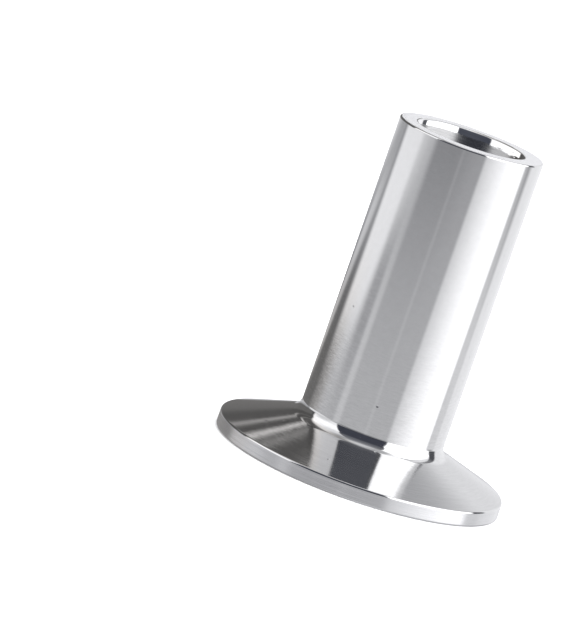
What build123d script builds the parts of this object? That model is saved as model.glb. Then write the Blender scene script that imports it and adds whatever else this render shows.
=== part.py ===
from build123d import *
import math
import os

# Sanitary clamp ferrule: a short stainless tube with a clamp flange turned on its foot.
# Millimetres. The origin is the centre of the gasket face, and +Z runs up the tube.

# tube
tube_od = 25.4            # one inch tube, the end that is welded on
wall = 3.2
bore_d = tube_od - 2 * wall
length = 60.0             # gasket face to weld end

# clamp flange, the size that a one-inch and a one-and-a-half-inch clamp share
flange_od = 50.5
rim_height = 2.6          # straight side of the flange, gasket face to the back's lower edge
back_angle = 20.0         # slope of the flange's back, which the clamp's wedge groove bears on
root_radius = 2.4         # hollow corner between the back and the tube

# gasket groove, a shallow round-bottomed ring in the gasket face
groove_pitch_d = 43.5
groove_radius = 2.34
groove_depth = 1.6

# broken edges
rim_top_break = 0.35
rim_bottom_break = 0.3
weld_edge_break = 0.3
bore_edge_break = 0.3
groove_edge_break = 0.2

tube_r = tube_od / 2
bore_r = bore_d / 2
flange_r = flange_od / 2
back_rise = (flange_r - tube_r) * math.tan(math.radians(back_angle))
root_z = rim_height + back_rise


def ring_edges(part, radius, height, tol=0.02):
    """The round edges of the part at this radius and height."""
    found = ShapeList()
    for edge in part.edges().filter_by(GeomType.CIRCLE):
        if abs(edge.radius - radius) < tol and abs(edge.arc_center.Z - height) < tol:
            found.append(edge)
    return found


with BuildPart() as ferrule:
    # half section of the tube and flange, turned about the axis
    with BuildSketch(Plane.XZ):
        with BuildLine():
            Polyline(
                (bore_r, 0),
                (flange_r, 0),
                (flange_r, rim_height),
                (tube_r, root_z),
                (tube_r, length),
                (bore_r, length),
                (bore_r, 0),
            )
        make_face()
    revolve(axis=Axis.Z)

    # gasket groove, cut by a ring whose centre stands below the face
    groove_centre = groove_radius - groove_depth
    groove_half = math.sqrt(groove_radius ** 2 - groove_centre ** 2)
    with BuildSketch(Plane.XZ):
        with Locations((groove_pitch_d / 2, -groove_centre)):
            Circle(groove_radius)
    revolve(axis=Axis.Z, mode=Mode.SUBTRACT)

    # hollow corner and broken edges
    fillet(ring_edges(ferrule.part, tube_r, root_z), root_radius)
    fillet(ring_edges(ferrule.part, flange_r, rim_height), rim_top_break)
    fillet(ring_edges(ferrule.part, flange_r, 0), rim_bottom_break)
    fillet(ring_edges(ferrule.part, tube_r, length), weld_edge_break)
    fillet(ring_edges(ferrule.part, bore_r, length), bore_edge_break)
    fillet(ring_edges(ferrule.part, bore_r, 0), bore_edge_break)
    fillet(ring_edges(ferrule.part, groove_pitch_d / 2 - groove_half, 0), groove_edge_break)
    fillet(ring_edges(ferrule.part, groove_pitch_d / 2 + groove_half, 0), groove_edge_break)

body = ferrule.part.solids()[0]
body.label = "ferrule"

os.makedirs("parts", exist_ok=True)
export_step(body, "parts/ferrule.step")

box = body.bounding_box()
print("box", round(box.size.X, 3), round(box.size.Y, 3), round(box.size.Z, 3))
print("lowest point", round(box.min.Z, 4), "volume", round(body.volume, 1), "valid", body.is_valid)
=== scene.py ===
import bpy
import bmesh
import math
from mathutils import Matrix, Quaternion, Vector


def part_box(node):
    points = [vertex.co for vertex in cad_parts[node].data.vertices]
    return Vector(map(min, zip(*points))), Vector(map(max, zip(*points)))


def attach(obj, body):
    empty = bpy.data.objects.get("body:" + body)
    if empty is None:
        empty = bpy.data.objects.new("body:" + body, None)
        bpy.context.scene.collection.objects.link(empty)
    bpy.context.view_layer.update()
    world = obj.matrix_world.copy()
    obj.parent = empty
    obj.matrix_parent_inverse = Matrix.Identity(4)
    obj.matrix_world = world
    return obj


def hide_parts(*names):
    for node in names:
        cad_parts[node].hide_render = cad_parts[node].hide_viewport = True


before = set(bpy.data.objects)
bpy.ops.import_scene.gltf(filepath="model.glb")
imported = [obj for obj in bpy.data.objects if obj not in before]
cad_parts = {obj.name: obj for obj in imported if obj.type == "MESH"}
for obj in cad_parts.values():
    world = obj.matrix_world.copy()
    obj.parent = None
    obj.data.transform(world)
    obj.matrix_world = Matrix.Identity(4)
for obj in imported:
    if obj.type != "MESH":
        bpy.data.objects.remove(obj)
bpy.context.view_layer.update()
scene = bpy.context.scene


# The ferrule: one piece of stainless bar, bored through, with its tube and its clamp flange turned
# in one setting. Its half section is drawn as a wire, straight by straight and round by round, and
# the wire is spun about the tube's axis.
foot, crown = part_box("ferrule")
height = crown.z - foot.z
flange_radius = (crown.x - foot.x) / 2
tube_radius = 0.0127
bore_radius = 0.0095
rim_height = 0.0026
back_slope = math.radians(20)
root_radius = 0.0024
groove_centre_radius = 0.02175
groove_radius = 0.00234
groove_depth = 0.0016
rim_top_break = 0.00035
rim_foot_break = 0.0003
weld_edge_break = 0.0003
bore_edge_break = 0.0003
groove_edge_break = 0.0002
steps_round = 256
held_back = 0.00003
touching = 1e-7

section = bmesh.new()
pen = bmesh.ops.create_vert(section, co=(bore_radius, 0, bore_edge_break))["vert"][0]


def straight_to(radius, level, pieces=1):
    """Draws a straight. A vertex is held close to each end, at most a fifth of the way along, so that
    the rounds beside it stay small."""
    global pen
    begin, end = pen.co.copy(), Vector((radius, 0, level))
    near = min(held_back / (end - begin).length, 0.2)
    for share in (near, *[n / pieces for n in range(1, pieces)], 1 - near, 1):
        pen = bmesh.ops.extrude_vert_indiv(section, verts=[pen])["verts"][0]
        pen.co = begin.lerp(end, share)


def round_about(radius, level, angle, pieces=6):
    """Draws a round by spinning the pen about a centre of the section."""
    global pen
    drawn = bmesh.ops.spin(section, geom=[pen], cent=(radius, 0, level), axis=(0, 1, 0), angle=angle,
                           steps=pieces)
    pen = next(item for item in drawn["geom_last"] if isinstance(item, bmesh.types.BMVert))


quarter = math.pi / 2
groove_centre_level = groove_depth - groove_radius
lip_rise = groove_edge_break - groove_centre_level
lip_reach = math.sqrt((groove_radius + groove_edge_break) ** 2 - lip_rise**2)
lip_turn = math.atan2(lip_reach, lip_rise)
rim_top_level = rim_height - rim_top_break * math.tan((quarter - back_slope) / 2)
root_reach = tube_radius + root_radius
root_foot_radius = root_reach - root_radius * math.sin(back_slope)
root_foot_level = rim_height + (flange_radius - root_foot_radius) * math.tan(back_slope)
root_level = root_foot_level + root_radius * math.cos(back_slope)

round_about(bore_radius + bore_edge_break, bore_edge_break, -quarter)
straight_to(groove_centre_radius - lip_reach, 0, 6)
round_about(groove_centre_radius - lip_reach, groove_edge_break, -lip_turn)
round_about(groove_centre_radius, groove_centre_level, 2 * lip_turn, 16)
round_about(groove_centre_radius + lip_reach, groove_edge_break, -lip_turn)
straight_to(flange_radius - rim_foot_break, 0, 2)
round_about(flange_radius - rim_foot_break, rim_foot_break, -quarter)
straight_to(flange_radius, rim_top_level, 3)
round_about(flange_radius - rim_top_break, rim_top_level, back_slope - quarter, 8)
straight_to(root_foot_radius, root_foot_level, 8)
round_about(root_reach, root_level, quarter - back_slope, 20)
straight_to(tube_radius, height - weld_edge_break, 24)
round_about(tube_radius - weld_edge_break, height - weld_edge_break, -quarter, 8)
straight_to(bore_radius + bore_edge_break, height, 3)
round_about(bore_radius + bore_edge_break, height - bore_edge_break, -quarter)
straight_to(bore_radius, bore_edge_break, 24)
bmesh.ops.remove_doubles(section, verts=section.verts, dist=touching)
bmesh.ops.spin(section, geom=section.verts[:] + section.edges[:], cent=(0, 0, 0), axis=(0, 0, 1),
               angle=math.tau, steps=steps_round, use_merge=True)
bmesh.ops.remove_doubles(section, verts=section.verts, dist=touching)
bmesh.ops.recalc_face_normals(section, faces=section.faces)


def place_in_order(face):
    """One number for a face, from its vertices, so that the faces come in the same order each time."""
    numbers = [vertex.index for vertex in face.verts]
    return min(numbers) * len(section.verts) + max(numbers)


section.verts.index_update()
section.faces.sort(key=place_in_order)

WALL, BACK, RIM, WELD_END, BORE, GASKET_FACE = range(6)
bore_side = bore_radius + bore_edge_break * 0.9
end_level = height - weld_edge_break * 0.01
foot_level = rim_foot_break * 0.3
inside_wall = tube_radius - weld_edge_break
rim_side = flange_radius - rim_foot_break
groove_top = groove_depth + 1e-6
for face in section.faces:
    face.smooth = True
    middle = face.calc_center_median()
    reach = math.hypot(middle.x, middle.y)
    if middle.z > end_level and reach > bore_side:
        face.material_index = WELD_END
    elif reach < bore_side:
        face.material_index = BORE
    elif middle.z < foot_level or reach < inside_wall or (middle.z < groove_top and reach < rim_side):
        face.material_index = GASKET_FACE
    elif middle.z < rim_top_level and reach > rim_side:
        face.material_index = RIM
    elif middle.z < root_foot_level:
        face.material_index = BACK
    else:
        face.material_index = WALL

mesh = bpy.data.meshes.new("turned_ferrule")
section.to_mesh(mesh)
section.free()
turned_ferrule = bpy.data.objects.new("turned_ferrule", mesh)
scene.collection.objects.link(turned_ferrule)
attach(turned_ferrule, "root")
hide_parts("ferrule")


# The tube's outside, with the round at its top and the hollow corner at its foot: stainless, turned
# and then polished on a belt. The belt's lines run round it, strongest near the flange where the
# belt can't reach well, and a few small pits are left.
class Wire:
    """One output of a shader node. Arithmetic on wires adds Math nodes beside it."""

    def __init__(self, tree, output):
        self.tree, self.output = tree, output

    def make(self, kind, settings=None, inputs=None, output=0):
        """Adds a node: its settings first, then the values or wires of its sockets."""
        node = self.tree.nodes.new(kind)
        for name, value in (settings or {}).items():
            setattr(node, name, value)
        for name, value in (inputs or {}).items():
            if isinstance(value, Wire):
                self.tree.links.new(value.output, node.inputs[name])
            else:
                node.inputs[name].default_value = value
        return Wire(self.tree, node.outputs[output]) if len(node.outputs) else node

    def math(self, operation, *others):
        """Adds a Math node whose first value is this wire."""
        return self.make("ShaderNodeMath", {"operation": operation}, dict(enumerate((self, *others))))

    def __add__(self, other):
        return self.math("ADD", other)

    __radd__ = __add__

    def __sub__(self, other):
        return self.math("SUBTRACT", other)

    def __rsub__(self, other):
        return self.make("ShaderNodeMath", {"operation": "SUBTRACT"}, {0: other, 1: self})

    def __mul__(self, other):
        return self.math("MULTIPLY", other)

    __rmul__ = __mul__

    def __truediv__(self, other):
        return self.math("DIVIDE", other)

    def __rtruediv__(self, other):
        return self.make("ShaderNodeMath", {"operation": "DIVIDE"}, {0: other, 1: self})

    def apart(self):
        """The three parts of a vector."""
        return [Wire(self.tree, part) for part in self.make(
            "ShaderNodeSeparateXYZ", inputs={"Vector": self}).output.node.outputs]

    def rise(self, low, high):
        """0 below low, 1 above high, and a smooth step between. Either may be a wire."""
        return self.make("ShaderNodeMapRange", {"interpolation_type": "SMOOTHSTEP"},
                         {"Value": self, "From Min": low, "From Max": high})

    def within(self, low, high, soft, soft_high=None):
        """1 between low and high, with soft edges. Any of them may be a wire."""
        top = soft if soft_high is None else soft_high
        return self.rise(low - soft / 2, low + soft / 2) * (1 - self.rise(high - top / 2, high + top / 2))


class Steel:
    """One turned finish of the ferrule: its shader, and wires for height, reach from the axis and place."""

    def __init__(self, name, colour, roughness):
        material = bpy.data.materials.new(name)
        material.use_nodes = True
        self.shader = material.node_tree.nodes["Principled BSDF"]
        self.shader.inputs["Base Color"].default_value = (*colour, 1)
        self.shader.inputs["Metallic"].default_value = 1
        self.shader.inputs["Roughness"].default_value = roughness
        turned_ferrule.data.materials.append(material)
        self.bench = Wire(material.node_tree, None)
        self.place = self.bench.make("ShaderNodeTexCoord", output="Object")
        x, y, self.height = self.place.apart()
        self.reach = (x * x + y * y).math("SQRT")
        self.turn_x, self.turn_y = x / self.reach, y / self.reach
        self.normal = self.bench.make("ShaderNodeNewGeometry", output="Normal")

    def cut_rings(self, along, feed, tilt, lift=0.0):
        """Tilts the surface along the section, ring by ring of the tool's feed, too fine to see. Two
        noises add up to each ring's lean, and lift is the lean that all the rings share."""
        ring = (along * (1 / feed)).math("FLOOR")
        leans = [ring.make("ShaderNodeTexWhiteNoise", {"noise_dimensions": "1D"}, {"W": ring + shift})
                 for shift in (0.13, 411.7)]
        around = self.bench.make("ShaderNodeCombineXYZ", inputs={0: self.turn_y * -1, 1: self.turn_x})
        across = around.make("ShaderNodeVectorMath", {"operation": "CROSS_PRODUCT"},
                             {0: around, 1: self.normal})
        lean = across.make("ShaderNodeVectorMath", {"operation": "SCALE"},
                           {0: across, "Scale": (leans[0] + leans[1] - 1) * tilt + lift})
        tilted = lean.make("ShaderNodeVectorMath", {"operation": "ADD"}, {0: self.normal, 1: lean})
        self.normal = tilted.make("ShaderNodeVectorMath", {"operation": "NORMALIZE"}, {0: tilted})

    def streaks(self, along, feed, around, detail=3):
        """Grey noise drawn out round the axis. Feed is a streak's width, around how often it breaks."""
        drawn = self.bench.make("ShaderNodeCombineXYZ", inputs={
            0: self.turn_x * around, 1: self.turn_y * around, 2: along * (1 / feed)})
        return drawn.make("ShaderNodeTexNoise", inputs={
            "Vector": drawn, "Scale": 1, "Detail": detail, "Roughness": 0.6})

    def raise_by(self, relief, depth):
        """Bumps the surface by a grey relief, depth metres where it is 1."""
        self.normal = relief.make("ShaderNodeBump", inputs={
            "Height": relief, "Distance": depth, "Normal": self.normal})

    def pits(self, spacing, size, share):
        """Sparse small dents, 1 in the middle of a dent. Share says how many of the places have one."""
        cell = self.bench.make("ShaderNodeTexVoronoi", inputs={"Vector": self.place, "Scale": 1 / spacing})
        chance = Wire(cell.tree, cell.output.node.outputs["Color"]).apart()[0]
        return (1 - cell.rise(0, size / spacing)) * chance.math("GREATER_THAN", 1 - share)

    def finish(self, **sockets):
        """Plugs in what varies over the steel, and the surface's tilt."""
        for name, wire in sockets.items():
            self.bench.tree.links.new(wire.output, self.shader.inputs[name.replace("_", " ").title()])
        self.bench.tree.links.new(self.normal.output, self.shader.inputs["Normal"])


steel_grey = 0.64
bare_steel = (steel_grey, steel_grey, 0.645)
noise_middle = 0.5
wall = Steel("polished_wall", bare_steel, 0.08)
near_root = 1 - wall.height.rise(0.008, 0.034)
lines = wall.streaks(wall.height, feed=0.00028, around=9)
haze = wall.bench.make("ShaderNodeTexNoise", inputs={"Vector": wall.place, "Scale": 900, "Detail": 4})
wall.raise_by(lines * (near_root * 1.4 + 0.03), depth=1.2e-6)
wall.raise_by(haze, depth=3e-7)
wall.raise_by(wall.pits(spacing=0.004, size=0.00032, share=0.6), depth=-3e-5)
line_shade = (lines - noise_middle) * (near_root * 0.16 + 0.03)
haze_shade = (haze - noise_middle) * 0.05
wall.finish(base_color=line_shade + haze_shade + steel_grey,
            roughness=(lines - noise_middle) * 0.06 + 0.072)


# The flange's back: the same steel, sloped for the clamp to bear on and left as the lathe's tool cut
# it, brighter than the tube. Its feed marks run round it, with a few small pits.
finest_feed = 0.00002
back = Steel("turned_back", bare_steel, 0.08)
back.cut_rings(back.reach, finest_feed, tilt=0.03)
feed_marks = back.streaks(back.reach, feed=0.0003, around=6)
back.raise_by(feed_marks, depth=7e-6)
back.raise_by(back.pits(spacing=0.004, size=0.00025, share=0.6), depth=-3e-5)
back.finish(base_color=(feed_marks - noise_middle) * 0.12 + steel_grey,
            roughness=back.streaks(back.reach, feed=0.002, around=4) * 0.08 + 0.04)


# The flange's rim: the straight side of the same piece, turned with a blunter tool, so that it is
# duller than the back and its marks are closer.
rim = Steel("turned_rim", bare_steel, 0.14)
rim.cut_rings(rim.height, finest_feed, tilt=0.07)
rim.raise_by(rim.streaks(rim.height, feed=0.0003, around=12), depth=3e-6)
rim.finish(roughness=rim.streaks(rim.height, feed=0.0006, around=20) * 0.14 + 0.08)


# The weld end: the tube's top, faced square on the lathe to be butt welded. It is freshly cut, and
# its colour is painted light, paler than the same steel elsewhere, with fine rings round the bore.
# Painted light: the faced end's colour is 0.84, against the steel's 0.64.
end = Steel("faced_end", (0.84, 0.84, 0.85), 0.2)
end.cut_rings(end.reach, finest_feed, tilt=0.12)
end.raise_by(end.streaks(end.reach, feed=0.00022, around=6), depth=4e-6)
end.finish(roughness=end.streaks(end.reach, feed=0.0004, around=10) * 0.14 + 0.12)


# The bore: drilled and bored right through, dull inside, with coarse rings. Its dark colour deeper in
# is painted shade. A narrow band at its mouth was eased and polished by hand, so it is a little deeper
# and more ragged on one side, and its face leans a little from side to side. The band's paler colour
# is a painted highlight.
def hang(under, over, mask):
    """Hangs one value over another where the mask is 1, as a panel over what lies under it."""
    return under + (over - under) * mask


band_depth = 0.0014
band_edge = 0.00015
bored = Steel("bored_wall", (0.6, 0.6, 0.605), 0.25)
right_side = bored.turn_x.rise(0.0, 0.6)
ragged = bored.streaks(bored.height, feed=0.0003, around=5) - noise_middle
mouth = (bored.height + bored.turn_x * 0.00035 + ragged * (right_side * 0.0022 + 0.0004)).rise(
    height - band_depth, height - (band_depth - band_edge) + right_side * 0.0005)
shallow = bored.height.rise(height - 0.012, height - 0.005)
cut = bored.streaks(bored.height, feed=0.00035, around=4)
right_lean = (bored.turn_x - 0.62).math("MAXIMUM", 0) * 1.6
left_lean = (bored.turn_x + 0.8).math("MINIMUM", 0) * 0.8
side_lean = (right_lean + left_lean) * mouth - 0.05
bored.normal = bored.normal.make("ShaderNodeVectorMath", {"operation": "ADD"}, {
    0: bored.normal, 1: side_lean.make("ShaderNodeCombineXYZ", inputs={0: side_lean})})
bored.cut_rings(bored.height, finest_feed, tilt=0.14 - mouth * 0.11,
                lift=0.1 + shallow * 0.3 + mouth * 0.1)
bored.raise_by(cut * (1 - mouth * 0.7), depth=4e-6)
# Painted shade: colour 0.22 deep in the bore. Painted highlight: colour 0.78 on the mouth band.
bored.finish(base_color=hang(0.22 + cut * 0.2, 0.78, mouth), roughness=0.26 - mouth * 0.2)


# The gasket face: the ferrule's foot, faced flat round the bore, with the round-bottomed groove that
# holds the gasket's bead. It is turned a little duller than the back.
seat = Steel("gasket_face", (0.63, 0.63, 0.635), 0.16)
seat.cut_rings(seat.reach, finest_feed, tilt=0.07)
seat.raise_by(seat.streaks(seat.reach, feed=0.00025, around=4), depth=3e-6)
seat.finish(roughness=seat.streaks(seat.reach, feed=0.001, around=6) * 0.1 + 0.1)


# The floor: a plain sheet of pale matt paper under the part. The polished steel doesn't mirror it,
# because what it mirrors is the tent below.
sheet = bmesh.new()
bmesh.ops.create_grid(sheet, x_segments=1, y_segments=1, size=6)
floor_mesh = bpy.data.meshes.new("floor")
sheet.to_mesh(floor_mesh)
sheet.free()
floor = bpy.data.objects.new("floor", floor_mesh)
floor.visible_glossy = False
scene.collection.objects.link(floor)
paper = bpy.data.materials.new("pale_paper")
paper.use_nodes = True
for socket, value in (("Base Color", (0.92, 0.92, 0.92, 1)), ("Roughness", 1), ("Specular IOR Level", 0)):
    paper.node_tree.nodes["Principled BSDF"].inputs[socket].default_value = value
floor_mesh.materials.append(paper)


# The light tent round the part, painted on the sky: two softboxes, a white backdrop, a dark open
# front and a glossy table. Compass is the angle round it, 0 at the front and + to the right, and
# above is the height, both in degrees.
sky = bpy.data.worlds.new("light_tent")
scene.world = sky
sky.use_nodes = True
sky.node_tree.nodes.clear()
direction = Wire(sky.node_tree, None).make("ShaderNodeTexCoord", output="Generated")
east, north, up = direction.apart()
compass = east.math("ARCTAN2", north * -1) * math.degrees(1)
compass = compass + compass.math("LESS_THAN", -177.5) * 360
above = up.math("ARCSINE") * math.degrees(1)
on_table = 1 - above.rise(-6, -1)
over_table = 1 - on_table


# The open front: dark, because the room behind it is unlit, with the tent's cloth roof over it and
# the table before it, where one narrow gleam lies.
front = 0.07 + above.rise(42, 56) * 0.12 + above.rise(57, 71) * 0.13 + above.rise(69, 82) * 0.5
front_shade = 0.36 - compass.rise(-18, 26) * 0.16
narrow_gleam = compass.within(-7.5, -3, 3) * 0.055
front_table = 0.64 - above.rise(-11.6, -7.2) * front_shade + narrow_gleam
tent = hang(front, front_table, on_table)


# The left softbox: a tall cloth-fronted lamp, dimmer at its foot and its top, whose far edge leans
# back. Its glow lies on the table, with a paler wing, a notch and a patch close to the part.
left_edge = -99 - above.math("MAXIMUM", 0) * 0.15 - above.math("SUBTRACT", 24).math("MAXIMUM", 0) * 0.7
left_near_edge = -51.6 - above.rise(42, 54) * 6
left_foot = (1 - above.rise(2, 20)) * (0.32 + compass.within(-90, -66, 16) * 0.34)
left_box = 1.58 - above.rise(34, 54) * 0.52 - left_foot
tent = hang(tent, left_box, compass.within(left_edge, left_near_edge, above.rise(26, 50) * 26 + 5, 3)
            * (1 - above.rise(55, 72) * 0.85) * over_table)
left_glow = 1.2 - above.rise(-9, -7.5) * 0.1
tent = hang(tent, left_glow, compass.within(-117.5, above * 6.4 - 14, 12, 16)
            * above.rise(-11.3, -10.6) * on_table)
tent = hang(tent, 0.8, compass.within(-62, -51, 7) * (1 - above.rise(-10.8, -8.8)))
wing = 0.93 - compass.rise(-80, -50) * 0.3
tent = hang(tent, wing, compass.within(-76, -51, 12) * above.rise(-10.6, -9) * on_table)
tent = hang(tent, 0.46, compass.within(-75, -61, 9) * above.within(-11.2, -9.8, 0.7))
close_left = 0.66 - above.rise(-12.4, -11.7) * (0.42 - compass.rise(-120, -90) * 0.38)
tent = hang(tent, close_left, (1 - compass.rise(-90, -80)) * (1 - above.rise(-11.3, -10.6)))


# The stand and clutter behind the left softbox: dark metal with lighter edges that lie level, each
# given by its height, width and light, and their gleams on the table.
stand = 0.12 + above.within(-2, 15, 8) * 0.07 + above.rise(46, 54) * 0.14
stand_fade = 1 - compass.rise(-160, -144) * 0.85
for level, width, light in ((26.2, 2.2, 0.42), (31.2, 0.6, -0.1), (34.6, 2.4, 0.85), (39.8, 2.2, 0.3)):
    stand = stand + above.within(level - width / 2, level + width / 2, 3) * light * stand_fade
behind_left_box = 1 - ((compass - left_edge) * 0.1).rise(-0.9, 0.1)
tent = hang(tent, stand, behind_left_box * over_table * (1 - above.rise(54, 70)))
far_gleam = (1 - compass.rise(-166, -132)) * above.within(-8.8, -6.8, 1) * 0.28
close_gleam = (1 - above.rise(-12.8, -11.8)) * 0.22
slanting_gleam = (compass - above * 14).within(-17, 4, 12) * above.within(-11.3, -9.2, 1) * 0.42
stand_table = 0.19 + above.rise(-10.6, -9) * (0.32 + far_gleam) + close_gleam + slanting_gleam
tent = hang(tent, stand_table, (1 - compass.rise(-128, -117)) * on_table)


# The right softbox: the stronger lamp, carried up and over the part, so that its near edge leans
# away higher up. Its glow on the table grows to the right.
right_edge = 31.2 + above.math("SUBTRACT", 40).math("MAXIMUM", 0) * 0.62
right_box = 2.5 - above.rise(60, 76) * 1.9
tent = hang(tent, right_box, compass.within(right_edge, 130, 4.5, 8) * over_table)
right_glow = 0.9 + (compass - 29).math("MAXIMUM", 0).math("MINIMUM", 50) * 0.018
right_glow = hang(0.74, right_glow, above.rise(-24, -11.5))
tent = hang(tent, right_glow, compass.within(29.5, 104, 6, 9) * on_table)


# The backdrop: a white sheet hung behind, on the right. It is dimmer low down and again high up, and
# a dark gap rises in a curve between it and the right softbox.
backdrop = 1.14 - compass.rise(157, 170) * 0.2 - (1 - above.rise(-13.5, -11)) * 0.16
backdrop = backdrop - compass.rise(171, 177) * (1 - above.rise(-7, 0)) * 0.28
backdrop = backdrop - above.rise(24, 45) * 0.44 * compass.rise(146, 160)
backdrop_top = 1 - above.rise(46, 60) * (1 - compass.rise(130, 150))
tent = hang(tent, backdrop, compass.rise(112, 124) * backdrop_top)
gap = 0.11 + above.rise(26, 38) * 0.2 + above.rise(38, 46) * 0.3
tent = hang(tent, gap, (compass - above * above * 0.017).within(109, 126.5, 5, 6) * over_table
            * (1 - above.rise(42, 50)))
gap_foot = compass.within(105.5, above * -3.6 + 80, 5, 7)
tent = hang(tent, 0.94 - above.rise(-11, -8) * 0.26, gap_foot * on_table)
tent = hang(tent, 1.4, compass.math("ABSOLUTE").rise(140, 165) * above.rise(48, 60))


# The table close under the part: one even, soft sheen. The whole tent is seen only by the steel, and
# the camera sees plain white. It is a little warm on the left and a little cold elsewhere.
close_table = 0.45 + compass.rise(-60, 20) * 0.33 - compass.rise(110, 175) * 0.33
tent = hang(tent, close_table, 1 - above.rise(-25, -14))
seen_by_camera = tent.make("ShaderNodeLightPath", output="Is Camera Ray")
tent = hang(tent, 1.0, seen_by_camera)
warm = (1 - compass.rise(-112, -84)) * (1 - above.within(-10.3, -4, 1.5))
cold_front = compass.within(-52, 30, 8) * above.rise(-4, 4) * 0.012
cold = (1 - seen_by_camera) * (1 - warm) * (0.016 + cold_front)
tinted = tent.make("ShaderNodeCombineColor", inputs={
    "Red": tent,
    "Green": tent * (1 - warm * 0.025) + cold * 0.2,
    "Blue": tent * (1.015 - warm * 0.05) + cold})
lit = tinted.make("ShaderNodeBackground", inputs={"Color": tinted})
lit.make("ShaderNodeOutputWorld", inputs={"Surface": lit})


# The overhead softbox: a square lamp hung well above the part. It lights the floor to white and
# leaves a soft shadow at the flange's foot, and the steel doesn't mirror it.
overhead = bpy.data.lights.new("overhead", "AREA")
overhead.size = 0.7
overhead.energy = 9
lamp = bpy.data.objects.new("overhead", overhead)
lamp.location = (0, 0.05, 0.9)
lamp.visible_glossy = False
lamp.visible_camera = False
scene.collection.objects.link(lamp)


# The camera: a long lens a little above the rim, rolled so that the tube leans to the right. Its
# tones are kept plain, with no film look.
camera_distance = 0.858
camera_rise = math.radians(12.31)
camera_roll = math.radians(19.03)
camera_aim = Vector((-0.0187, 0.0043, 0.0198))
camera = bpy.data.objects.new("camera", bpy.data.cameras.new("camera"))
camera.data.lens = 283.6
camera.data.sensor_width = 36
camera.data.clip_end = 20
camera.location = camera_distance * Vector((0, -math.cos(camera_rise), math.sin(camera_rise)))
camera.rotation_mode = "QUATERNION"
camera.rotation_quaternion = (camera_aim - camera.location).to_track_quat("-Z", "Y") @ Quaternion(
    (0, 0, 1), camera_roll)
scene.collection.objects.link(camera)
scene.camera = camera
scene.view_settings.view_transform = "Standard"
